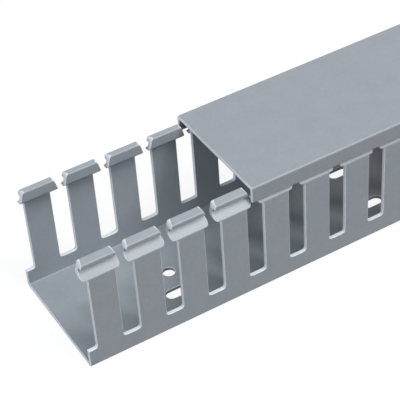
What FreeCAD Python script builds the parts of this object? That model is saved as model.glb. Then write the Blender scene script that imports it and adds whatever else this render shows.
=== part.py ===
"""Open-slot wiring duct in rigid PVC: a punched channel and its clip-on cover.

Millimetres. X runs along the duct, Z is up, and the origin is the middle of the
face that the channel rests on. The cover is slid back along the channel, so the
first fingers of the near end stand bare.
"""

import FreeCAD, Part
import math
import os
import re
import Sketcher

os.makedirs("parts", exist_ok=True)

SIZES = {
    # channel, as extruded
    "length": 1000.0,
    "width": 58.0,
    "height": 54.2,
    "wall": 1.8,
    "base": 1.8,
    "corner_outside": 1.5,
    "corner_inside": 0.8,
    # snap head at the top of each wall: the wall steps in, then a nose reaches out
    "head_depth": 8.1,
    "step_in": 3.3,
    "step_rise": 3.5,
    "step_drop": 0.7,
    "step_bend": 0.8,
    "web": 2.2,
    "groove": 1.5,
    "nose": 1.8,
    "nose_fall": 1.2,
    # slots punched through both walls, with their corners cut across; the mouth is the width above the heads
    "pitch": 20.0,
    "slot": 8.0,
    "slot_floor": 9.1,
    "slot_corner": 1.0,
    "neck": 2.8,
    "lip_corner": 1.2,
    "mouth": 6.3,
    # fixing holes in the base
    "hole_spacing": 100.0,
    "hole": 5.5,
    "hole_start": 53.0,
    "oblong": 11.0,
    "oblong_start": 50.0,
    "oblong_rows": 25.0,
    # cover
    "cover_wall": 1.5,
    "cover_depth": 7.7,
    "cover_corner": 1.0,
    "hook": 1.0,
    "hook_reach": 1.7,
    "fit_gap": 0.3,
    "slid_back": 78.6,
}

STRAIGHT = 0
LEFT = 1
RIGHT = -1


def make_sheet(document):
    """Write each driving size into a cell of its own, with its name as alias."""
    sheet = document.addObject("Spreadsheet::Sheet", "Sizes")
    for row, (name, value) in enumerate(SIZES.items(), start=1):
        sheet.set(f"A{row}", name)
        sheet.set(f"B{row}", str(value))
        sheet.setAlias(f"B{row}", name)
    document.recompute()
    return sheet


def sized(text):
    """Turn words such as 'width / 2' into an expression on the sheet's cells."""
    return re.sub("[a-z_]+", lambda word: f"Sizes.{word[0]}" if word[0] in SIZES else word[0], text)


def origin_feature(body, role):
    """Find one of the body's own origin planes or axes."""
    return next(item for item in body.Origin.OriginFeatures if item.Role == role)


def new_sketch(body, name, plane):
    """Start a sketch on one of the body's origin planes."""
    sketch = body.newObject("Sketcher::SketchObject", name)
    sketch.AttachmentSupport = (origin_feature(body, plane), [""])
    sketch.MapMode = "FlatFace"
    return sketch


def bind(sketch, constraint, text):
    """Add a measured constraint and tie its value to the sheet."""
    index = sketch.addConstraint(constraint)
    sketch.setExpression(f"Constraints[{index}]", sized(text))


def hold_point(sketch, edge, end, along, up):
    """Hold one end of an edge at a place that the sheet gives."""
    for kind, text in (("DistanceX", along), ("DistanceY", up)):
        value = float(sketch.evalExpression(sized(text)))
        bind(sketch, Sketcher.Constraint(kind, -1, 1, edge, end, value), text)


def bent_edge(start, end, heading, turn):
    """Make the arc that leaves start along heading and bends to end."""
    side = FreeCAD.Vector(-heading.y, heading.x, 0) * turn
    chord = end - start
    radius = chord.dot(chord) / (2 * side.dot(chord))
    centre = start + side * radius
    first, last = (start, end) if turn == LEFT else (end, start)
    angles = [math.atan2(point.y - centre.y, point.x - centre.x) for point in (first, last)]
    circle = Part.Circle(centre, FreeCAD.Vector(0, 0, 1), radius)
    return Part.ArcOfCircle(circle, angles[0], angles[1])


def draw_outline(sketch, steps):
    """Draw a closed outline through the steps.

    A step is (along, up, turn): where an edge starts, as words on the sheet, and
    whether the edge runs straight or bends, tangent to the edge before it.
    """
    points = []
    for along, up, _turn in steps:
        numbers = [float(sketch.evalExpression(sized(text))) for text in (along, up)]
        points.append(FreeCAD.Vector(numbers[0], numbers[1], 0))
    edges = []
    for index, (_along, _up, turn) in enumerate(steps):
        start = points[index]
        end = points[(index + 1) % len(points)]
        if turn == STRAIGHT:
            edge = Part.LineSegment(start, end)
        else:
            heading = start - points[index - 1]
            edge = bent_edge(start, end, heading.normalize(), turn)
        edges.append(sketch.addGeometry(edge, False))
    ends = [(2, 1) if turn == RIGHT else (1, 2) for _along, _up, turn in steps]
    for index, (along, up, turn) in enumerate(steps):
        before = edges[index - 1], ends[index - 1][1]
        this = edges[index], ends[index][0]
        meeting = "Coincident" if turn == STRAIGHT else "Tangent"
        sketch.addConstraint(Sketcher.Constraint(meeting, *before, *this))
        hold_point(sketch, *this, along, up)


def both_sides(steps, middle="0"):
    """Follow the steps of one side by their mirror image about the middle, in reverse."""
    near = [(f"{middle} + ({out})", up, turn) for out, up, turn in steps]
    turns = [turn for _out, _up, turn in steps]
    far = []
    for index in range(len(steps) - 1, -1, -1):
        out, up, _turn = steps[index]
        turn = turns[index - 1] if index > 0 else STRAIGHT
        far.append((f"{middle} - ({out})", up, turn))
    return near + far


def pad_along(body, sketch, name):
    """Extrude a section over the whole length, half of it each way."""
    pad = body.newObject("PartDesign::Pad", name)
    pad.Profile = sketch
    pad.SideType = "Symmetric"
    pad.setExpression("Length", sized("length"))
    return pad


def punch(body, sketch, name, depth):
    """Cut a sketch out of the body, half of the depth to each side of its plane."""
    pocket = body.newObject("PartDesign::Pocket", name)
    pocket.Profile = sketch
    pocket.SideType = "Symmetric"
    pocket.setExpression("Length", sized(depth))
    return pocket


def repeat_along(body, feature, name, spacing, count):
    """Repeat a cut along the duct."""
    pattern = body.newObject("PartDesign::LinearPattern", name)
    pattern.Originals = [feature]
    pattern.Direction = (origin_feature(body, "X_Axis"), [""])
    pattern.Mode = "Spacing"
    pattern.setExpression("Offset", sized(spacing))
    pattern.setExpression("Occurrences", sized(count))
    body.Tip = pattern
    return pattern


def channel_section(body):
    """Draw the U of the channel with the snap heads at the top of its walls."""
    outside = "width / 2"
    inside = "width / 2 - wall"
    web_outside = "width / 2 - step_in"
    web_inside = "width / 2 - step_in - web"
    step_foot = "height - head_depth"
    step_top = "height - head_depth + step_rise"
    slope = "atan(step_in / step_rise)"
    set_back = f"step_bend * tan({slope} / 2)"
    sketch = new_sketch(body, "channel_section", "YZ_Plane")
    draw_outline(sketch, both_sides([
        (f"{outside} - corner_outside", "0", LEFT),
        (outside, "corner_outside", STRAIGHT),
        (outside, f"{step_foot} - {set_back}", STRAIGHT),
        (f"{outside} - {set_back} * sin({slope})", f"{step_foot} + {set_back} * cos({slope})", STRAIGHT),
        (web_outside, step_top, STRAIGHT),
        (web_outside, f"{step_top} + groove", STRAIGHT),
        (f"{web_outside} + nose", f"{step_top} + groove", STRAIGHT),
        (f"{web_outside} + nose", "height - nose_fall", STRAIGHT),
        (web_inside, "height", STRAIGHT),
        (web_inside, f"{step_top} - step_drop", STRAIGHT),
        (inside, f"{step_foot} - step_drop", STRAIGHT),
        (inside, "base + corner_inside", RIGHT),
        (f"{inside} - corner_inside", "base", STRAIGHT),
    ]))
    return sketch


def slot_outline(body):
    """Draw one slot at the near end: straight up to the step, then a narrow neck that flares upwards."""
    above_heads = "height + 1"
    neck_foot = "height - head_depth"
    sketch = new_sketch(body, "slot_outline", "XZ_Plane")
    draw_outline(sketch, both_sides([
        ("slot / 2 - slot_corner", "slot_floor", STRAIGHT),
        ("slot / 2", "slot_floor + slot_corner", STRAIGHT),
        ("slot / 2", neck_foot, STRAIGHT),
        ("neck / 2 + lip_corner", neck_foot, STRAIGHT),
        ("neck / 2", f"{neck_foot} + lip_corner", STRAIGHT),
        ("mouth / 2", above_heads, STRAIGHT),
    ], middle="-1 * length / 2"))
    return sketch


def fixing_holes(body):
    """Draw the first set of base holes: a round one in the middle and an oblong each side."""
    sketch = new_sketch(body, "fixing_holes", "XY_Plane")
    centre = FreeCAD.Vector(SIZES["hole_start"] - SIZES["length"] / 2, 0, 0)
    circle = sketch.addGeometry(Part.Circle(centre, FreeCAD.Vector(0, 0, 1), SIZES["hole"] / 2), False)
    bind(sketch, Sketcher.Constraint("Radius", circle, SIZES["hole"] / 2), "hole / 2")
    hold_point(sketch, circle, 3, "hole_start - length / 2", "0")
    for row in ("oblong_rows / 2", "-1 * oblong_rows / 2"):
        middle = "oblong_start - length / 2"
        reach = "(oblong - hole) / 2"
        draw_outline(sketch, [
            (f"{middle} - {reach}", f"{row} - hole / 2", STRAIGHT),
            (f"{middle} + {reach}", f"{row} - hole / 2", LEFT),
            (f"{middle} + {reach}", f"{row} + hole / 2", STRAIGHT),
            (f"{middle} - {reach}", f"{row} + hole / 2", LEFT),
        ])
    return sketch


def make_channel(document):
    """Build the channel: its section, then the slots, then the base holes."""
    body = document.addObject("PartDesign::Body", "duct_channel")
    body.Label = "duct_channel"
    extrusion = pad_along(body, channel_section(body), "channel_extrusion")
    slot = punch(body, slot_outline(body), "slot", "width + 2")
    slots = repeat_along(body, slot, "slots", "pitch", "floor(length / pitch) + 1")
    holes = punch(body, fixing_holes(body), "hole_set", "2 * base + 2")
    all_holes = repeat_along(body, holes, "hole_sets", "hole_spacing", "floor(length / hole_spacing)")
    document.recompute()
    solid_volumes = [feature.Shape.Volume for feature in (extrusion, slot, slots, holes, all_holes)]
    if solid_volumes != sorted(solid_volumes, reverse=True) or len(set(solid_volumes)) < len(solid_volumes):
        raise RuntimeError(f"a cut of the channel removed nothing: {solid_volumes}")
    return body


def cover_section(body):
    """Draw the cover: a flat top, two flanges and the hooks that sit in the grooves."""
    inside = "width / 2 - step_in + nose + fit_gap"
    outside = f"{inside} + cover_wall"
    underside = "height + fit_gap"
    top = "height + fit_gap + cover_wall"
    flange_foot = f"{top} - cover_depth"
    hook_top = "height - head_depth + step_rise + groove - fit_gap"
    sketch = new_sketch(body, "cover_section", "YZ_Plane")
    draw_outline(sketch, both_sides([
        (f"{inside}", underside, STRAIGHT),
        (inside, hook_top, STRAIGHT),
        (f"{inside} - hook_reach", hook_top, STRAIGHT),
        (f"{inside} - hook_reach", f"{hook_top} - hook / 2", STRAIGHT),
        (inside, f"{hook_top} - hook", STRAIGHT),
        (inside, flange_foot, STRAIGHT),
        (outside, flange_foot, STRAIGHT),
        (outside, f"{top} - cover_corner", LEFT),
        (f"{outside} - cover_corner", top, STRAIGHT),
    ]))
    return sketch


def make_cover(document):
    """Build the cover and slide it back along the channel."""
    body = document.addObject("PartDesign::Body", "cover")
    body.Label = "cover"
    pad_along(body, cover_section(body), "cover_extrusion")
    body.setExpression("Placement.Base.x", sized("slid_back"))
    return body


def check(document, bodies):
    """Stop if any object of the document failed or a solid isn't sound."""
    for item in document.Objects:
        if "Invalid" in item.State or "Error" in item.State:
            raise RuntimeError(f"{item.Name} failed: {item.State}")
    for body in bodies:
        if body.Shape.isNull() or not body.Shape.isValid() or len(body.Shape.Solids) != 1:
            raise RuntimeError(f"{body.Label} isn't one sound solid")


def main():
    """Build both pieces, check them and write one file for each."""
    document = FreeCAD.newDocument("wire_duct")
    make_sheet(document)
    bodies = [make_channel(document), make_cover(document)]
    document.recompute()
    check(document, bodies)
    for body in bodies:
        body.Shape.exportStep(f"parts/{body.Label}.step")
        box = body.Shape.BoundBox
        print(body.Label, f"{body.Shape.Volume:.0f} mm3", [round(size, 3) for size in (
            box.XMin, box.XMax, box.YMin, box.YMax, box.ZMin, box.ZMax)])


main()
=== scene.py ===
"""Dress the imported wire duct: finer meshes, grey PVC, a plain studio and the camera.

Metres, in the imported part's own frame: X runs along the duct, Z is up, and the
origin is the middle of the face that the channel rests on.
"""

import logging
import math
from collections.abc import Iterable, Sequence
from dataclasses import dataclass, field
from enum import Enum

import bmesh
import bpy
from mathutils import Matrix, Vector


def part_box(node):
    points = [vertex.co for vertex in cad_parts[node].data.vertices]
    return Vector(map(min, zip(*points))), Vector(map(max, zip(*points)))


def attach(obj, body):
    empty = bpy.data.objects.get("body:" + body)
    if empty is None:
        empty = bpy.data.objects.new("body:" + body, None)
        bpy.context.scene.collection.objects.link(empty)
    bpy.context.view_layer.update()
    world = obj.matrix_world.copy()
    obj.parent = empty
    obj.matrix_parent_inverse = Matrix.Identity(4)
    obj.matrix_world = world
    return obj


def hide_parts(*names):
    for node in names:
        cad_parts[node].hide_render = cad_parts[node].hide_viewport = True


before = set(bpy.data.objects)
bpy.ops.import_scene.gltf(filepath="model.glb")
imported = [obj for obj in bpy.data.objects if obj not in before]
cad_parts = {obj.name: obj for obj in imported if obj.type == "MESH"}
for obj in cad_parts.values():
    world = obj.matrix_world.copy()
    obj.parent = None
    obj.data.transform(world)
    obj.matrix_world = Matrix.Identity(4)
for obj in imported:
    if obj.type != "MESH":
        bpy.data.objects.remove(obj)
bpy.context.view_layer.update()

MM = 0.001
WELD = 0.002 * MM
CUT_SNAP = WELD / 10
ALONG = Vector((1, 0, 0))
ACROSS = Vector((0, 1, 0))
UP = Vector((0, 0, 1))
ARC_STEP = math.radians(18.0)
LEAST_ARC_STEPS = 2
SHARP_EDGE = math.radians(30.0)
BROKEN_EDGE_STEPS = 2
NOISE_MIDDLE = 0.5
TONE_LIMITS = (0.5, 1.5)
ROUGHNESS_LIMITS = (0.2, 0.9)
FLECK_SHARE = 0.6
WHITE = (1.0, 1.0, 1.0, 1.0)
LOG = logging.getLogger("wire_duct")

# Pairs of a height and half a width, from the lowest up.
Widths = list[tuple[float, float]]


class Face(Enum):
    """Which finish a face of the duct takes: as extruded, or as a tool left it, where the cut finish is
    lightened partly as painted highlight and the bored one darkened as painted shade.
    """

    EXTRUDED = 0
    CUT_WHITENED_HIGHLIT = 1
    BORED_SHADED = 2


class Signal:
    """A shader socket that takes part in arithmetic."""

    def __init__(self, graph: "ShaderGraph", socket: bpy.types.NodeSocket) -> None:
        """Wrap a socket of a graph."""
        self.graph = graph
        self.socket = socket

    def _maths(self, operation: str, *values: "Signal | float") -> "Signal":
        """Run one Math node on the values."""
        return self.graph.node("ShaderNodeMath", {"operation": operation}, dict(enumerate(values)))

    def __add__(self, other: "Signal | float") -> "Signal":
        """Add."""
        return self._maths("ADD", self, other)

    __radd__ = __add__

    def __sub__(self, other: "Signal | float") -> "Signal":
        """Take away."""
        return self._maths("SUBTRACT", self, other)

    def __rsub__(self, other: float) -> "Signal":
        """Take this from a number."""
        return self._maths("SUBTRACT", other, self)

    def __mul__(self, other: "Signal | float") -> "Signal":
        """Multiply."""
        return self._maths("MULTIPLY", self, other)

    __rmul__ = __mul__

    def clamped(self, low: float = 0.0, high: float = 1.0) -> "Signal":
        """Hold the value between two limits."""
        return self.graph.node("ShaderNodeClamp", {}, {"Value": self, "Min": low, "Max": high})


class ShaderGraph:
    """The node graph of one material or of the world."""

    def __init__(self, owner: bpy.types.Material | bpy.types.World) -> None:
        """Empty the graph of its owner and start again.

        Args:
            owner: The material or world that the graph belongs to.
        """
        owner.use_nodes = True
        self.tree = owner.node_tree
        self.tree.nodes.clear()

    def node(
        self, kind: str, settings: dict[str, object], inputs: dict[str | int, object], output: str | int = 0
    ) -> Signal:
        """Add one node.

        Args:
            kind: The node's type.
            settings: Its own settings, set before its sockets.
            inputs: Values or signals for its sockets, by name or by number.
            output: Which of its outputs to hand back.

        Returns:
            The chosen output, or the first input of a node that has no output.
        """
        made = self.tree.nodes.new(kind)
        for name, value in settings.items():
            setattr(made, name, value)
        for name, value in inputs.items():
            if isinstance(value, Signal):
                self.tree.links.new(value.socket, made.inputs[name])
            else:
                made.inputs[name].default_value = value
        return Signal(self, made.outputs[output] if made.outputs else made.inputs[0])


@dataclass(frozen=True)
class PvcFinish:
    """Rigid PVC in one grey, as it looks on one kind of surface, with painted highlight or painted shade in
    the greys of some kinds.

    Attributes:
        name: The material's name.
        grey: Its colour, linear.
        roughness: How matt it is.
        mottle: How far the colour drifts over a centimetre or so.
        grain: How far it varies from one fleck to the next.
        draw_lines: How strongly the die's lines show along the duct.
        relief: Depth of the grain, in metres.
        mottle_scale: How fine the drift is.
        grain_scale: How fine the flecks are.
        noise_detail: How many finer steps drift and flecks have.
        line_scale: How fine the die's lines are along X, Y and Z.
        line_detail: How many finer steps the lines have.
        gloss_drift: How far the roughness follows the drift.
        gloss_grain: How far it follows the flecks.
        refraction: Refractive index of PVC.
    """

    name: str
    grey: tuple[float, float, float]
    roughness: float
    mottle: float
    grain: float
    draw_lines: float
    relief: float
    mottle_scale: float = 100.0
    grain_scale: float = 700.0
    noise_detail: float = 4.0
    line_scale: tuple[float, float, float] = (1.5, 900.0, 900.0)
    line_detail: float = 2.0
    gloss_drift: float = 0.12
    gloss_grain: float = 0.1
    refraction: float = 1.53

    def make(self) -> bpy.types.Material:
        """Make the material.

        Returns:
            The material, with its finished graph.
        """
        material = bpy.data.materials.new(self.name)
        graph = ShaderGraph(material)
        place = graph.node("ShaderNodeTexCoord", {}, {}, "Object")
        cloud = self._noise(graph, place, self.mottle_scale, self.noise_detail)
        fleck = self._noise(graph, place, self.grain_scale, self.noise_detail)
        drawn_out = graph.node("ShaderNodeMapping", {}, {"Vector": place, "Scale": self.line_scale})
        lines = self._noise(graph, drawn_out, 1.0, self.line_detail)
        drift = cloud - NOISE_MIDDLE
        speckle = fleck - NOISE_MIDDLE
        tone = 1.0 + drift * self.mottle + speckle * self.grain + (lines - NOISE_MIDDLE) * self.draw_lines
        colour = graph.node(
            "ShaderNodeVectorMath",
            {"operation": "SCALE"},
            {0: self.grey, "Scale": tone.clamped(*TONE_LIMITS)},
        )
        height = fleck * FLECK_SHARE + lines * (1.0 - FLECK_SHARE)
        normal = graph.node(
            "ShaderNodeBump", {}, {"Strength": 1.0, "Distance": self.relief, "Height": height}
        )
        rough = self.roughness + drift * self.gloss_drift + speckle * self.gloss_grain
        shader = graph.node(
            "ShaderNodeBsdfPrincipled",
            {},
            {
                "Base Color": colour,
                "Roughness": rough.clamped(*ROUGHNESS_LIMITS),
                "Normal": normal,
                "IOR": self.refraction,
            },
        )
        graph.node("ShaderNodeOutputMaterial", {}, {"Surface": shader})
        return material

    @staticmethod
    def _noise(graph: ShaderGraph, place: Signal, scale: float, detail: float) -> Signal:
        """Noise between 0 and 1 at a place."""
        return graph.node("ShaderNodeTexNoise", {}, {"Vector": place, "Scale": scale, "Detail": detail})


CHANNEL_PVC = PvcFinish(
    name="channel_pvc",
    grey=(0.334, 0.362, 0.390),
    roughness=0.34,
    mottle=0.18,
    grain=0.18,
    draw_lines=0.03,
    relief=0.010 * MM,
)
COVER_PVC = PvcFinish(
    name="cover_pvc",
    grey=(0.314, 0.332, 0.360),
    roughness=0.38,
    mottle=0.15,
    grain=0.14,
    draw_lines=0.03,
    relief=0.010 * MM,
)
# Much lighter than the body grey: partly the stress whitening of punched PVC, partly a painted highlight on
# cut faces, ends and broken edges.
CUT_PVC_WHITENED_HIGHLIT = PvcFinish(
    name="punched_pvc_whitened_highlight",
    grey=(0.74, 0.77, 0.81),
    roughness=0.55,
    mottle=0.08,
    grain=0.16,
    draw_lines=0.02,
    relief=0.030 * MM,
)
# Darker than the body grey: painted shade on the walls of the bored holes.
BORE_PAINTED_SHADE_PVC = PvcFinish(
    name="bore_painted_shade_pvc",
    grey=(0.190, 0.205, 0.230),
    roughness=0.55,
    mottle=0.08,
    grain=0.16,
    draw_lines=0.02,
    relief=0.030 * MM,
)


@dataclass(frozen=True)
class Corner:
    """A corner of a drawn outline, in its own plane.

    Attributes:
        across: Its distance along the plane's level axis.
        up: Its height.
        radius: The radius that rounds it, or 0 where it stays sharp.
    """

    across: float
    up: float
    radius: float = 0.0


def draw_rounded(mesh: bmesh.types.BMesh, outline: Sequence[Corner], across: Vector) -> None:
    """Draw an upright face through the corners and round those that have a radius.

    Args:
        mesh: The mesh to draw in.
        outline: The corners, in order.
        across: The level axis of the face.
    """
    points = [across * corner.across + UP * corner.up for corner in outline]
    spots = [mesh.verts.new(point) for point in points]
    mesh.faces.new(spots)
    for index, (corner, spot) in enumerate(zip(outline, spots)):
        if corner.radius == 0.0:
            continue
        before = points[index] - points[index - 1]
        after = points[(index + 1) % len(points)] - points[index]
        turn = before.angle(after)
        bmesh.ops.bevel(
            mesh,
            geom=[spot],
            offset=corner.radius * math.tan(turn / 2),
            offset_type="OFFSET",
            segments=max(LEAST_ARC_STEPS, round(turn / ARC_STEP)),
            profile=0.5,
            affect="VERTICES",
            material=-1,
        )


def mirrored(half: Sequence[Corner]) -> list[Corner]:
    """Follow one side's corners by their mirror image, in reverse."""
    return list(half) + [Corner(-corner.across, corner.up, corner.radius) for corner in reversed(half)]


def cut_at(mesh: bmesh.types.BMesh, place: Vector, normal: Vector, part: Iterable | None = None) -> None:
    """Cut the mesh, or a part of it, by a plane, and keep both sides."""
    chosen = list(part) if part is not None else [*mesh.verts, *mesh.edges, *mesh.faces]
    bmesh.ops.bisect_plane(mesh, geom=chosen, dist=CUT_SNAP, plane_co=place, plane_no=normal)


def put_in_order(mesh: bmesh.types.BMesh) -> None:
    """Order edges and faces by their vertices, because an extrusion leaves that to chance.

    It makes the mesh anew, which also fixes the order of the edges round each vertex.

    Args:
        mesh: The mesh. Its vertices keep their order.
    """
    mesh.verts.index_update()
    for items in (mesh.edges, mesh.faces):
        # A bmesh sorts by its items' numbers, so each one gets its rank first.
        ordered = sorted(items, key=lambda item: sorted(spot.index for spot in item.verts))
        for rank, item in enumerate(ordered):
            item.index = rank
        items.sort()
    scrap = bpy.data.meshes.new("ordered")
    mesh.to_mesh(scrap)
    for edge in scrap.edges:
        edge.vertices = sorted(edge.vertices)
    mesh.clear()
    mesh.from_mesh(scrap)
    bpy.data.meshes.remove(scrap)
    mesh.verts.ensure_lookup_table()


def extrude_drawn(mesh: bmesh.types.BMesh) -> list[bmesh.types.BMVert]:
    """Extrude a drawn section, and mark its ends as cut and its sides as extruded.

    Args:
        mesh: The mesh, with nothing but the drawn faces.

    Returns:
        The vertices of the far end, which still lie on those of the near one.
    """
    for face in mesh.faces:
        face.material_index = Face.CUT_WHITENED_HIGHLIT.value
    made = bmesh.ops.extrude_face_region(mesh, geom=list(mesh.faces))
    mesh.verts.index_update()
    far_places = [item.index for item in made["geom"] if isinstance(item, bmesh.types.BMVert)]
    put_in_order(mesh)
    far = [mesh.verts[place] for place in far_places]
    far_spots = set(far)
    for face in mesh.faces:
        spots = set(face.verts)
        if spots & far_spots and spots - far_spots:
            face.material_index = Face.EXTRUDED.value
    return far


def join(parts: Iterable[bmesh.types.BMesh]) -> bmesh.types.BMesh:
    """Weld several bmeshes into one and free them.

    Args:
        parts: The bmeshes, which touch where they are to be welded.

    Returns:
        The welded bmesh.
    """
    whole = bmesh.new()
    for part in parts:
        scrap = bpy.data.meshes.new("part")
        part.to_mesh(scrap)
        part.free()
        whole.from_mesh(scrap)
        bpy.data.meshes.remove(scrap)
    bmesh.ops.remove_doubles(whole, verts=list(whole.verts), dist=WELD)
    return whole


def new_piece(name: str, mesh: bmesh.types.BMesh, finishes: Sequence[bpy.types.Material]) -> bpy.types.Object:
    """Turn a bmesh into a linked object and free it.

    Args:
        name: The object's name.
        mesh: The bmesh.
        finishes: The materials that its faces' numbers stand for.

    Returns:
        The object.
    """
    data = bpy.data.meshes.new(name)
    mesh.to_mesh(data)
    mesh.free()
    for finish in finishes:
        data.materials.append(finish)
    piece = bpy.data.objects.new(name, data)
    bpy.context.scene.collection.objects.link(piece)
    return piece


def soften(piece: bpy.types.Object, width: float) -> None:
    """Break the sharp edges of a piece, with a painted highlight from the lighter cut finish, and keep its
    flats flat in the shading.

    Args:
        piece: The piece.
        width: How wide its broken edges are.
    """
    piece.data.shade_smooth()
    edge = piece.modifiers.new("broken_edges", "BEVEL")
    edge.width = width
    edge.segments = BROKEN_EDGE_STEPS
    edge.limit_method = "ANGLE"
    edge.angle_limit = SHARP_EDGE
    edge.use_clamp_overlap = False
    # The broken edges take the light cut finish, which paints highlights along them.
    edge.material = Face.CUT_WHITENED_HIGHLIT.value
    piece.modifiers.new("flat_flats", "WEIGHTED_NORMAL")


@dataclass
class SnapHead:
    """The head at the top of a finger, that the cover's hook holds.

    Attributes:
        depth: How far below the top the wall starts to step in.
        step_in: How far the web stands in from the wall.
        step_rise: Height of the step.
        step_drop: How far the inner slope lies below the outer one.
        web: How thick the web is.
        groove: Height of the groove above the step.
        nose: How far the nose stands out from the web.
        nose_fall: How far the top falls towards the nose.
        step_foot: Radius of the bend where the step starts.
        step_top: Radius of the bend where the step meets the web.
        groove_corner: Radius above the groove, inside it and at the nose.
        nose_top: Radius of the nose's upper edge.
        crown: Radius of the web's upper edge, inside.
        inner_bend: Radius of the two bends of the inner slope.
    """

    depth: float = 8.1 * MM
    step_in: float = 3.3 * MM
    step_rise: float = 3.5 * MM
    step_drop: float = 0.7 * MM
    web: float = 2.2 * MM
    groove: float = 1.5 * MM
    nose: float = 1.8 * MM
    nose_fall: float = 1.2 * MM
    step_foot: float = 0.6 * MM
    step_top: float = 0.5 * MM
    groove_corner: float = 0.3 * MM
    nose_top: float = 0.6 * MM
    crown: float = 0.8 * MM
    inner_bend: float = 1.0 * MM


@dataclass
class SlotShape:
    """The outline that is punched out between two fingers.

    Attributes:
        pitch: Distance from one slot to the next.
        width: Width of the slot between two fingers' edges.
        floor: Height at which it starts.
        corner: Radius of its lower corners.
        under_head: Radius in the corner between a finger's edge and the underside of its head.
        neck: Width at the step, were the heads' lower corners sharp.
        mouth: Width at the top.
        lip_corner: Radius of the heads' lower corners.
        top_corner: Radius of the heads' upper corners.
    """

    pitch: float = 20.0 * MM
    width: float = 8.0 * MM
    floor: float = 9.1 * MM
    corner: float = 1.3 * MM
    under_head: float = 0.7 * MM
    neck: float = 1.8 * MM
    mouth: float = 5.8 * MM
    lip_corner: float = 1.8 * MM
    top_corner: float = 2.0 * MM

    @property
    def stem_half(self) -> float:
        """Half the width of a finger below its head."""
        return (self.pitch - self.width) / 2

    def edges(self, shoulder: float, top: float) -> tuple[Widths, Widths]:
        """Say how wide a finger is at each height.

        Args:
            shoulder: Height of the shoulder under the head.
            top: Height of the head's top.

        Returns:
            For the stem and for the head, pairs of height and half width from the lowest up.
        """
        middle = self.pitch / 2
        drawing = bmesh.new()
        outline = [
            Corner(0.0, 0.0),
            Corner(middle, 0.0),
            Corner(middle, self.floor),
            Corner(self.stem_half, self.floor, self.corner),
            Corner(self.stem_half, shoulder, self.under_head),
            Corner(middle - self.neck / 2, shoulder, self.lip_corner),
            Corner(middle - self.mouth / 2, top, self.top_corner),
            Corner(0.0, top),
        ]
        draw_rounded(drawing, outline, ALONG)
        spots = sorted((spot.co.z, spot.co.x) for spot in drawing.verts if 0.0 < spot.co.x < middle - WELD)
        drawing.free()
        arc_end = self.stem_half + self.under_head + WELD
        stem = [
            (up, half)
            for up, half in spots
            if up < shoulder - WELD or (up < shoulder + WELD and half < arc_end)
        ]
        return stem, [spot for spot in spots if spot not in stem]


@dataclass
class BaseHoles:
    """The fixing holes of the base, in sets.

    Attributes:
        spacing: Distance from one set to the next.
        diameter: Diameter of the round hole, and width of the oblong ones.
        round_start: Distance from the channel's end to the first round hole's centre.
        oblong: Length of the oblong holes.
        oblong_start: Distance from the channel's end to the first oblong holes' centres.
        rows: Distance between the two rows of oblong holes.
        rim_step: Degrees from one point of a rim to the next.
    """

    spacing: float = 100.0 * MM
    diameter: float = 5.5 * MM
    round_start: float = 53.0 * MM
    oblong: float = 11.0 * MM
    oblong_start: float = 50.0 * MM
    rows: float = 25.0 * MM
    rim_step: int = 15

    def _arc(self, across: float, row: float, first: int, last: int) -> list[Vector]:
        """Draw an arc of a rim.

        Args:
            across: X of its centre.
            row: Y of its centre.
            first: Degrees at its first point.
            last: Degrees at its last point.

        Returns:
            Its points, in order.
        """
        radius = self.diameter / 2
        turns = [math.radians(degrees) for degrees in range(first, last + 1, self.rim_step)]
        return [
            Vector((across + radius * math.cos(turn), row + radius * math.sin(turn), 0)) for turn in turns
        ]

    def rims(self) -> list[list[Vector]]:
        """Outline each hole of a set, seen from above.

        Returns:
            The points of each rim, with the oblong holes' centres at X = 0.
        """
        reach = (self.oblong - self.diameter) / 2
        outlines = [self._arc(self.round_start - self.oblong_start, 0.0, 0, 360 - self.rim_step)]
        for row in (self.rows / 2, -self.rows / 2):
            outlines.append(self._arc(reach, row, -90, 90) + self._arc(-reach, row, 90, 270))
        return outlines


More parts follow.
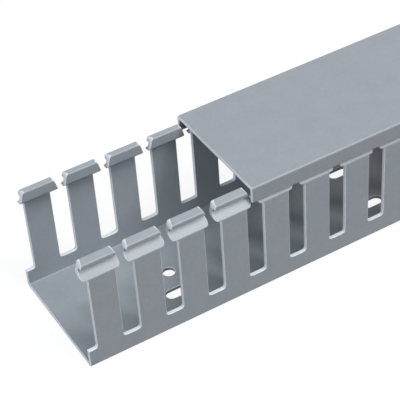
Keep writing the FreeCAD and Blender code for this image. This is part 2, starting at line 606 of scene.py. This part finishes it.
@dataclass
class DuctChannel:
    """The channel: a U-shaped extrusion with fingers punched out of both walls.

    Attributes:
        length: Its length.
        width: Its width over the walls.
        height: Its height to the top of the heads.
        wall: How thick its walls are.
        base: How thick its base is.
        corner_outside: Radius where walls and base meet, outside.
        corner_inside: Radius where they meet, inside.
        broken_edge: Width of the broken edges.
        head: The head of each finger.
        slot: The slot between two fingers.
        holes: The holes of the base.
    """

    length: float
    width: float
    height: float
    wall: float = 1.8 * MM
    base: float = 1.8 * MM
    corner_outside: float = 1.5 * MM
    corner_inside: float = 0.4 * MM
    broken_edge: float = 0.20 * MM
    head: SnapHead = field(default_factory=SnapHead)
    slot: SlotShape = field(default_factory=SlotShape)
    holes: BaseHoles = field(default_factory=BaseHoles)

    def section(self) -> list[Corner]:
        """Draw up the U with the heads at the top of its walls.

        Returns:
            The corners of its outline.
        """
        head = self.head
        outside = self.width / 2
        inside = outside - self.wall
        web_outside = outside - head.step_in
        web_inside = web_outside - head.web
        foot = self.height - head.depth
        top = foot + head.step_rise
        nose = web_outside + head.nose
        return mirrored(
            [
                Corner(outside, 0.0, self.corner_outside),
                Corner(outside, foot, head.step_foot),
                Corner(web_outside, top, head.step_top),
                Corner(web_outside, top + head.groove, head.groove_corner),
                Corner(nose, top + head.groove, head.groove_corner),
                Corner(nose, self.height - head.nose_fall, head.nose_top),
                Corner(web_inside, self.height, head.crown),
                Corner(web_inside, top - head.step_drop, head.inner_bend),
                Corner(inside, foot - head.step_drop, head.inner_bend),
                Corner(inside, self.base, self.corner_inside),
            ]
        )

    def section_between(self, low: float, high: float) -> bmesh.types.BMesh:
        """Draw the part of the section between two heights.

        Args:
            low: The lower height.
            high: The upper height.

        Returns:
            The part, as flat faces.
        """
        mesh = bmesh.new()
        draw_rounded(mesh, self.section(), ACROSS)
        for height in (low, high):
            cut_at(mesh, UP * height, UP)
        spare = [face for face in mesh.faces if not low < face.calc_center_median().z < high]
        bmesh.ops.delete(mesh, geom=spare, context="FACES")
        return mesh

    def finger_part(self, edge: Widths) -> bmesh.types.BMesh:
        """Build the part of a pitch's two fingers that an edge covers.

        Args:
            edge: Pairs of height and half width, from the lowest up.

        Returns:
            The part, as wide at each height as the edge says.
        """
        mesh = self.section_between(edge[0][0], edge[-1][0])
        for height, _half in edge[1:-1]:
            cut_at(mesh, UP * height, UP)
        far = set(extrude_drawn(mesh))
        for spot in mesh.verts:
            half = self._half_width(edge, spot.co.z)
            spot.co.x = half if spot in far else -half
        return mesh

    def fingers(self) -> bmesh.types.BMesh:
        """Build the two fingers of one pitch from the slots' floor up.

        Returns:
            The fingers, open below.
        """
        shoulder = self.height - self.head.depth
        stem_edge, head_edge = self.slot.edges(shoulder, self.height)
        stems = self.finger_part(stem_edge)
        open_ends = [face for face in stems.faces if self._lies_at(face, self.slot.floor)]
        open_ends += [face for face in stems.faces if self._lies_at(face, shoulder)]
        bmesh.ops.delete(stems, geom=open_ends, context="FACES_ONLY")
        heads = self.finger_part(head_edge)
        self._open_level(heads, shoulder, stem_edge[-1][1])
        return join([stems, heads])

    def _open_level(self, mesh: bmesh.types.BMesh, height: float, half: float) -> None:
        """Cut the middle out of the level faces at a height, and mark what is left of them as cut.

        Args:
            mesh: The mesh.
            height: The height.
            half: Half the length of the opening along the duct.
        """
        for side in (-half, half):
            level = [face for face in mesh.faces if self._lies_at(face, height)]
            # Each item once, and always in the same order, which a set wouldn't keep.
            part = dict.fromkeys(item for face in level for item in (face, *face.edges, *face.verts))
            cut_at(mesh, ALONG * side, ALONG, part)
        level = [face for face in mesh.faces if self._lies_at(face, height)]
        for face in level:
            face.material_index = Face.CUT_WHITENED_HIGHLIT.value
        middle = [face for face in level if abs(face.calc_center_median().x) < half]
        bmesh.ops.delete(mesh, geom=middle, context="FACES_ONLY")

    @staticmethod
    def _half_width(edge: Widths, height: float) -> float:
        """Find half the width of a finger at a height.

        Args:
            edge: Pairs of height and half width, from the lowest up.
            height: The height.

        Returns:
            The half width between the two pairs that the height lies between.
        """
        for (low, low_half), (high, high_half) in zip(edge, edge[1:]):
            if height <= high:
                share = max(0.0, (height - low) / (high - low))
                return low_half + (high_half - low_half) * share
        return edge[-1][1]

    def trough(self, drilled: bool) -> bmesh.types.BMesh:
        """Build one pitch of the channel below the slots' floor.

        Args:
            drilled: Whether the pitch has a set of holes in its base.

        Returns:
            The pitch, open at both ends and where the fingers stand.
        """
        mesh = self.section_between(-self.base, self.slot.floor)
        far = extrude_drawn(mesh)
        bmesh.ops.translate(mesh, verts=list(mesh.verts), vec=(-self.slot.pitch / 2, 0, 0))
        bmesh.ops.translate(mesh, verts=far, vec=(self.slot.pitch, 0, 0))
        ends = [face for face in mesh.faces if face.material_index == Face.CUT_WHITENED_HIGHLIT.value]
        bmesh.ops.delete(mesh, geom=ends, context="FACES_ONLY")
        self._open_level(mesh, self.slot.floor, self.slot.stem_half + self.slot.corner)
        if drilled:
            self.drill(mesh)
        return mesh

    @staticmethod
    def _lies_at(face: bmesh.types.BMFace, height: float) -> bool:
        """Whether a face is level, at a height."""
        return all(abs(spot.co.z - height) < WELD for spot in face.verts)

    def drill(self, mesh: bmesh.types.BMesh) -> None:
        """Put a set of holes through the base of one pitch.

        Args:
            mesh: The pitch's trough.
        """
        rings: list[list[list[bmesh.types.BMEdge]]] = [[], []]
        for level, height in enumerate((0.0, self.base)):
            plate = next(face for face in mesh.faces if self._lies_at(face, height))
            border = list(plate.edges)
            facing = plate.normal.copy()
            bmesh.ops.delete(mesh, geom=[plate], context="FACES_ONLY")
            for rim in self.holes.rims():
                spots = [mesh.verts.new(point + UP * height) for point in rim]
                rings[level].append([mesh.edges.new(pair) for pair in zip(spots, spots[1:] + spots[:1])])
            inner = [edge for ring in rings[level] for edge in ring]
            bmesh.ops.triangle_fill(mesh, use_beauty=True, edges=border + inner, normal=facing)
        for below, above in zip(*rings):
            for wall in bmesh.ops.bridge_loops(mesh, edges=below + above)["faces"]:
                # The hole walls take the dark finish, which is painted shade.
                wall.material_index = Face.BORED_SHADED.value

    def _pitches(self) -> bmesh.types.BMesh:
        """Set the channel's pitches in a row.

        Returns:
            The row, welded, and closed at both ends by cut faces.
        """
        cells = {}
        for drilled in (False, True):
            cell = join([self.trough(drilled), self.fingers()])
            cells[drilled] = bpy.data.meshes.new("pitch")
            cell.to_mesh(cells[drilled])
            cell.free()
        whole = bmesh.new()
        per_set = round(self.holes.spacing / self.slot.pitch)
        first_drilled = int(self.holes.oblong_start / self.slot.pitch)
        for index in range(round(self.length / self.slot.pitch)):
            before = len(whole.verts)
            whole.from_mesh(cells[index % per_set == first_drilled])
            whole.verts.ensure_lookup_table()
            shift = (index + 0.5) * self.slot.pitch - self.length / 2
            bmesh.ops.translate(whole, verts=whole.verts[before:], vec=(shift, 0, 0))
        for cell in cells.values():
            bpy.data.meshes.remove(cell)
        bmesh.ops.remove_doubles(whole, verts=list(whole.verts), dist=WELD)
        open_edges = [edge for edge in whole.edges if edge.is_boundary]
        for face in bmesh.ops.holes_fill(whole, edges=open_edges, sides=0)["faces"]:
            face.material_index = Face.CUT_WHITENED_HIGHLIT.value
        bmesh.ops.recalc_face_normals(whole, faces=list(whole.faces))
        return whole

    def build(self, finishes: Sequence[bpy.types.Material]) -> bpy.types.Object:
        """Build the channel and put it on its body.

        Args:
            finishes: The finishes of its extruded faces, of its cut faces and broken edges (lightened, partly
                as painted highlight) and of its bored faces (darkened as painted shade).

        Returns:
            The channel.
        """
        whole = self._pitches()
        open_edges = sum(edge.is_boundary for edge in whole.edges)
        LOG.info("channel: %d faces, %d open edges", len(whole.faces), open_edges)
        piece = new_piece("slotted_channel", whole, finishes)
        soften(piece, self.broken_edge)
        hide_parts("duct_channel")
        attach(piece, "channel")
        return piece


@dataclass
class DuctCover:
    """The cover: a flat top, two flanges, and hooks that sit in the heads' grooves.

    Attributes:
        start: X of its near end.
        end: X of its far end.
        width: Its width over the flanges.
        top: Height of its upper face.
        wall: How thick it is.
        depth: How far its flanges reach down.
        corner: Radius of its upper edges, outside.
        hook: Height of a hook at the flange.
        hook_reach: How far a hook stands in from the flange.
        hook_below_top: How far a hook's upper face lies below the top.
        corner_inside: Radius of its upper edges, inside.
        hook_corner: Radius of a hook's corners.
        hook_root: Radius where a hook's lower face meets the flange.
        foot_inside: Radius of a flange's lower edge, inside.
        foot_outside: Radius of a flange's lower edge, outside.
        broken_edge: Width of the broken edges.
    """

    start: float
    end: float
    width: float
    top: float
    wall: float = 1.5 * MM
    depth: float = 7.7 * MM
    corner: float = 1.0 * MM
    hook: float = 1.0 * MM
    hook_reach: float = 1.7 * MM
    hook_below_top: float = 5.2 * MM
    corner_inside: float = 0.4 * MM
    hook_corner: float = 0.2 * MM
    hook_root: float = 0.3 * MM
    foot_inside: float = 0.4 * MM
    foot_outside: float = 0.5 * MM
    broken_edge: float = 0.15 * MM

    def section(self) -> list[Corner]:
        """Draw up the cover's section.

        Returns:
            The corners of its outline.
        """
        outside = self.width / 2
        inside = outside - self.wall
        hook_tip = inside - self.hook_reach
        foot = self.top - self.depth
        hook_top = self.top - self.hook_below_top
        return mirrored(
            [
                Corner(inside, self.top - self.wall, self.corner_inside),
                Corner(inside, hook_top, self.hook_corner),
                Corner(hook_tip, hook_top, self.hook_corner),
                Corner(hook_tip, hook_top - self.hook / 2, self.hook_corner),
                Corner(inside, hook_top - self.hook, self.hook_root),
                Corner(inside, foot, self.foot_inside),
                Corner(outside, foot, self.foot_outside),
                Corner(outside, self.top, self.corner),
            ]
        )

    def build(self, finishes: Sequence[bpy.types.Material]) -> bpy.types.Object:
        """Extrude the section and put the cover on its body.

        Args:
            finishes: The finishes of its extruded faces and of its cut faces and broken edges (lightened,
                partly as painted highlight).

        Returns:
            The cover.
        """
        mesh = bmesh.new()
        draw_rounded(mesh, self.section(), ACROSS)
        far = extrude_drawn(mesh)
        bmesh.ops.translate(mesh, verts=list(mesh.verts), vec=(self.start, 0, 0))
        bmesh.ops.translate(mesh, verts=far, vec=(self.end - self.start, 0, 0))
        bmesh.ops.recalc_face_normals(mesh, faces=list(mesh.faces))
        piece = new_piece("sliding_cover", mesh, finishes)
        soften(piece, self.broken_edge)
        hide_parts("cover")
        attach(piece, "cover")
        return piece


@dataclass(frozen=True)
class Softbox:
    """One soft lamp of the studio.

    Attributes:
        name: Its name.
        place: Where it hangs, seen from the point that it faces.
        size: Its width and height.
        power: Its power, in watts.
        shows_in_gloss: Whether glossy faces show it.
    """

    name: str
    place: tuple[float, float, float]
    size: tuple[float, float]
    power: float
    shows_in_gloss: bool = True

    def hang(self, aim: Vector) -> None:
        """Hang the lamp so that it faces a point.

        Args:
            aim: The point.
        """
        data = bpy.data.lights.new(self.name, "AREA")
        data.shape = "RECTANGLE"
        data.size, data.size_y = self.size
        data.energy = self.power
        place = Vector(self.place)
        lamp = bpy.data.objects.new(self.name, data)
        lamp.location = aim + place
        lamp.rotation_euler = place.to_track_quat("Z", "Y").to_euler()
        lamp.visible_glossy = self.shows_in_gloss
        bpy.context.scene.collection.objects.link(lamp)


OVERHEAD = Softbox("overhead", (0.0, -0.65, 1.75), (1.8, 0.7), 23.5)
FRONT = Softbox("front", (0.95, -1.78, 1.65), (0.7, 0.7), 18.4)
LEFT = Softbox("left", (-1.5, -0.35, 0.55), (0.7, 0.7), 12.0, shows_in_gloss=False)
BACK = Softbox("back", (0.0, 1.9, 0.4), (1.6, 0.5), 9.0, shows_in_gloss=False)


@dataclass
class Studio:
    """The pale floor, the soft lights and the camera.

    Attributes:
        focal: The camera's focal length, in millimetres.
        sensor: Width of its sensor, in millimetres.
        azimuth: How far it stands round from -Y towards +X, in degrees.
        elevation: How far it looks down, in degrees.
        roll: How far it is tilted, in degrees.
        distance: How far it stands from the point that it faces.
        aim: That point.
        clip: The nearest and farthest distance that it shows.
        floor_half: Half the length of the floor's sides.
        floor_gap: How far the floor lies below the duct, so that their faces don't coincide.
        floor_tone: How pale the floor is where it only throws light back.
        floor_lift: How much paler it is where it is seen.
        floor_glow: Strength of the white that is mixed in where it is seen.
        floor_glow_share: Share of that white.
        sky: Colour of the light from all round, with alpha.
        sky_strength: Its strength.
    """

    focal: float = 132.47
    sensor: float = 36.0
    azimuth: float = -28.255
    elevation: float = 40.659
    roll: float = -4.432
    distance: float = 618.314 * MM
    aim: tuple[float, float, float] = (-427.33 * MM, 3.67 * MM, 29.72 * MM)
    clip: tuple[float, float] = (0.01, 20.0)
    floor_half: float = 6.0
    floor_gap: float = 0.05 * MM
    floor_tone: float = 0.05
    floor_lift: float = 0.55
    floor_glow: float = 1.12
    floor_glow_share: float = 0.8
    sky: tuple[float, float, float, float] = (0.74, 1.0, 1.24, 1.0)
    sky_strength: float = 0.16

    def camera(self) -> None:
        """Set up the camera at the photograph's angle."""
        azimuth, elevation, roll = (math.radians(turn) for turn in (self.azimuth, self.elevation, self.roll))
        back = Vector(
            (
                math.sin(azimuth) * math.cos(elevation),
                -math.cos(azimuth) * math.cos(elevation),
                math.sin(elevation),
            )
        )
        turn = back.to_track_quat("Z", "Y").to_matrix() @ Matrix.Rotation(roll, 3, "Z")
        data = bpy.data.cameras.new("view")
        data.lens = self.focal
        data.sensor_width = self.sensor
        data.clip_start, data.clip_end = self.clip
        camera = bpy.data.objects.new("view", data)
        camera.location = Vector(self.aim) + back * self.distance
        camera.rotation_euler = turn.to_euler()
        bpy.context.scene.collection.objects.link(camera)
        bpy.context.scene.camera = camera

    @staticmethod
    def _seen(graph: ShaderGraph) -> Signal:
        """Tell rays that show the backdrop from rays that only carry its light.

        Args:
            graph: The graph to work in.

        Returns:
            1 for a ray that shows the backdrop itself or its mirror image, and 0 for any other.
        """
        camera, glossy, transmission = (
            graph.node("ShaderNodeLightPath", {}, {}, kind)
            for kind in ("Is Camera Ray", "Is Glossy Ray", "Is Transmission Ray")
        )
        return (camera + glossy + transmission).clamped()

    def floor(self) -> None:
        """Lay the pale floor that keeps the duct's shadow."""
        mesh = bmesh.new()
        below = Matrix.Translation(UP * -self.floor_gap)
        bmesh.ops.create_grid(mesh, x_segments=1, y_segments=1, size=self.floor_half, matrix=below)
        material = bpy.data.materials.new("pale_floor")
        graph = ShaderGraph(material)
        seen = self._seen(graph)
        tone = self.floor_tone + seen * self.floor_lift
        grey = graph.node("ShaderNodeCombineColor", {}, {"Red": tone, "Green": tone, "Blue": tone})
        matt = graph.node("ShaderNodeBsdfDiffuse", {}, {"Color": grey})
        white = graph.node("ShaderNodeEmission", {}, {"Color": WHITE, "Strength": self.floor_glow})
        mixed = graph.node("ShaderNodeMixShader", {}, {0: seen * self.floor_glow_share, 1: matt, 2: white})
        graph.node("ShaderNodeOutputMaterial", {}, {"Surface": mixed})
        floor = new_piece("floor", mesh, [material])

    def world(self) -> None:
        """Light the duct evenly from all round, before a white background."""
        world = bpy.data.worlds.new("studio")
        bpy.context.scene.world = world
        graph = ShaderGraph(world)
        sky = graph.node("ShaderNodeBackground", {}, {"Color": self.sky, "Strength": self.sky_strength})
        white = graph.node("ShaderNodeBackground", {}, {"Color": WHITE, "Strength": 1.0})
        mixed = graph.node("ShaderNodeMixShader", {}, {0: self._seen(graph), 1: sky, 2: white})
        graph.node("ShaderNodeOutputWorld", {}, {"Surface": mixed})

    def lamps(self) -> None:
        """Hang the lamps, two over the whole duct and two round the end that the camera shows."""
        middle = Vector((0, 0, 0))
        near_end = Vector(self.aim)
        OVERHEAD.hang(middle)
        FRONT.hang(near_end)
        LEFT.hang(near_end)
        BACK.hang(middle)

    def build(self) -> None:
        """Put up the studio."""
        bpy.context.scene.view_settings.view_transform = "Standard"
        self.camera()
        self.floor()
        self.world()
        self.lamps()


def main() -> None:
    """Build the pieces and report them."""
    logging.basicConfig(level=logging.INFO, format="%(message)s")
    channel_pvc, cover_pvc, cut_pvc_whitened_highlit, bore_painted_shade_pvc = (
        finish.make() for finish in (CHANNEL_PVC, COVER_PVC, CUT_PVC_WHITENED_HIGHLIT, BORE_PAINTED_SHADE_PVC)
    )
    low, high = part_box("duct_channel")
    size = high - low
    channel = DuctChannel(size.x, size.y, size.z).build([channel_pvc, cut_pvc_whitened_highlit, bore_painted_shade_pvc])
    low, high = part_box("cover")
    cover = DuctCover(low.x, high.x, high.y - low.y, high.z).build([cover_pvc, cut_pvc_whitened_highlit])
    for piece in (channel, cover):
        LOG.info("built %s", piece.name)
    Studio().build()


if __name__ == "__main__":
    main()
